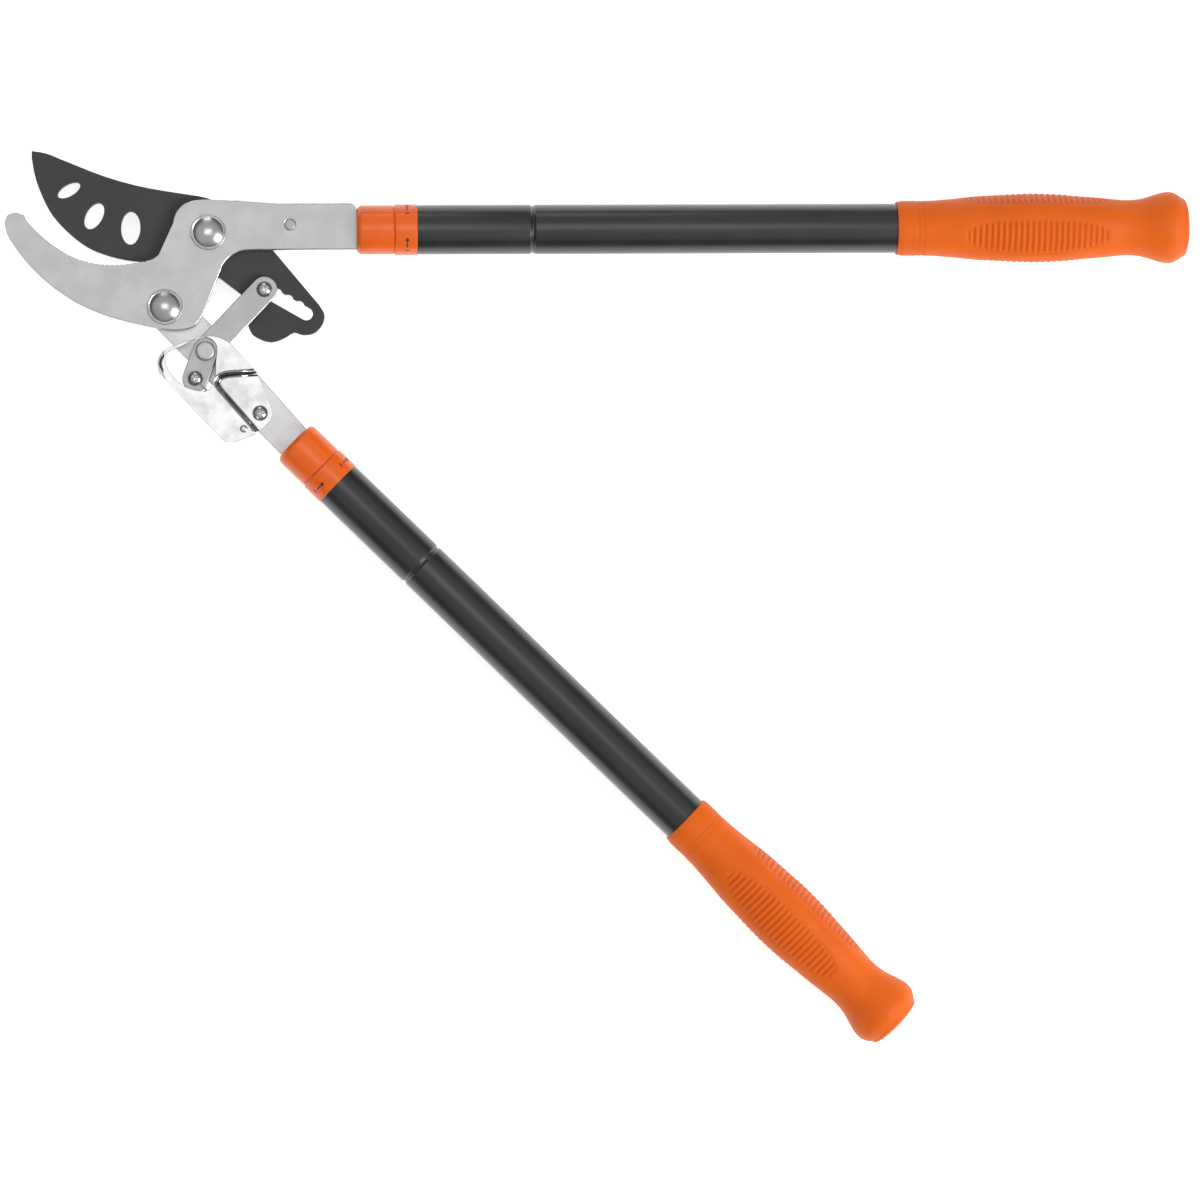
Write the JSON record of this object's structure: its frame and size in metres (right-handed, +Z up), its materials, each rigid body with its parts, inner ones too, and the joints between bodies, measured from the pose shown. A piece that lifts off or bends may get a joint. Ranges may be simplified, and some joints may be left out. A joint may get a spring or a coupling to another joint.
{
  "type": "bypass loppers",
  "caption": "Telescopic bypass loppers: curved hook, coated cutting blade, notched lever link with return spring, and two twist-lock handles with ribbed grips.",
  "frame": {"origin": "centre of the tool's outline on the surface that it lies on", "axes": "+X along the upper handle from the head to its grip, +Y across the tool towards the cutting blade, +Z up from the surface"},
  "size_m": [0.6863, 0.5179, 0.0414],
  "materials": {
    "blasted_steel": "satin bead-blasted steel plate",
    "coated_blade": "dark matt non-stick coating",
    "chrome": "bright chrome plate",
    "zinc": "bright zinc plate",
    "tube_coat": "satin charcoal powder coat",
    "alloy": "drawn aluminium tube",
    "orange_cap": "moulded orange plastic, low gloss",
    "orange_grip": "soft orange grip rubber, matt",
    "nylon": "black nylon"
  },
  "bodies": {
    "head": {"hook_plate": "blasted_steel", "blade_bolt": "chrome", "blade_bolt_washer": "zinc", "blade_bolt_nut": "zinc", "blade_slip_washer": "nylon", "handle_bolt": "chrome", "handle_bolt_washer": "zinc", "handle_bolt_nut": "zinc", "handle_slip_washer": "nylon", "stop_pin": "zinc", "upper_cap": "orange_cap", "upper_tang_plug": "nylon", "upper_tang_rivets": "zinc", "upper_inner_tube": "alloy", "upper_lock_core": "nylon", "upper_lock_washer": "zinc", "upper_lock_screw": "zinc"},
    "blade": {"cutting_blade": "coated_blade"},
    "lower_arm": {"lower_tang": "blasted_steel", "link_rivet": "zinc", "return_spring": "zinc", "spring_anchor": "zinc", "spring_cover": "chrome", "cover_screw": "chrome", "lower_cap": "orange_cap", "lower_tang_plug": "nylon", "lower_tang_rivets": "zinc", "lower_inner_tube": "alloy", "lower_lock_core": "nylon", "lower_lock_washer": "zinc", "lower_lock_screw": "zinc"},
    "link": {"link_bar": "blasted_steel", "notch_screw": "chrome", "notch_washer": "zinc", "notch_nut": "zinc", "tail_screw": "chrome"},
    "upper_cam": {"upper_lock_cam": "nylon"},
    "upper_sleeve": {"upper_lock_ring": "orange_cap", "upper_guide_bush": "nylon", "upper_outer_tube": "tube_coat", "upper_grip": "orange_grip", "upper_end_plug": "nylon"},
    "lower_cam": {"lower_lock_cam": "nylon"},
    "lower_sleeve": {"lower_lock_ring": "orange_cap", "lower_guide_bush": "nylon", "lower_outer_tube": "tube_coat", "lower_grip": "orange_grip", "lower_end_plug": "nylon"}
  },
  "joints": [
    {"name": "handle_pivot", "type": "hinge", "parent": "head", "child": "lower_arm", "pos_m": [-0.25185, 0.16791, 0.02068], "axis": [0, 0, 1], "range_deg": [-14, 29], "stiffness_Nm_per_rad": 1, "deforming": ["return_spring"]},
    {"name": "blade_pivot", "type": "hinge", "parent": "head", "child": "blade", "pos_m": [-0.22665, 0.21101, 0.02068], "axis": [0, 0, 1], "range_deg": [-10.5, 21.75]},
    {"name": "link_pivot", "type": "hinge", "parent": "lower_arm", "child": "link", "pos_m": [-0.22886, 0.14251, 0.02068], "axis": [0, 0, 1], "range_deg": [-28.71, 13.86], "deforming": ["return_spring"]},
    {"name": "upper_twist", "type": "hinge", "parent": "head", "child": "upper_cam", "pos_m": [-0.14135, 0.21261, 0.02068], "axis": [1, 0, 0], "range_deg": [0, 40]},
    {"name": "upper_extend", "type": "slide", "parent": "upper_cam", "child": "upper_sleeve", "axis": [1, 0, 0], "range_m": [0, 0.3]},
    {"name": "lower_twist", "type": "hinge", "parent": "lower_arm", "child": "lower_cam", "pos_m": [-0.17813, 0.09041, 0.02068], "axis": [0.7133, -0.7009, 0], "range_deg": [0, 40]},
    {"name": "lower_extend", "type": "slide", "parent": "lower_cam", "child": "lower_sleeve", "axis": [0.7133, -0.7009, 0], "range_m": [0, 0.3]}
  ],
  "couplings": [
    {"joint": "blade_pivot", "follows": "handle_pivot", "ratio": 0.75},
    {"joint": "link_pivot", "follows": "handle_pivot", "ratio": -0.99}
  ]
}
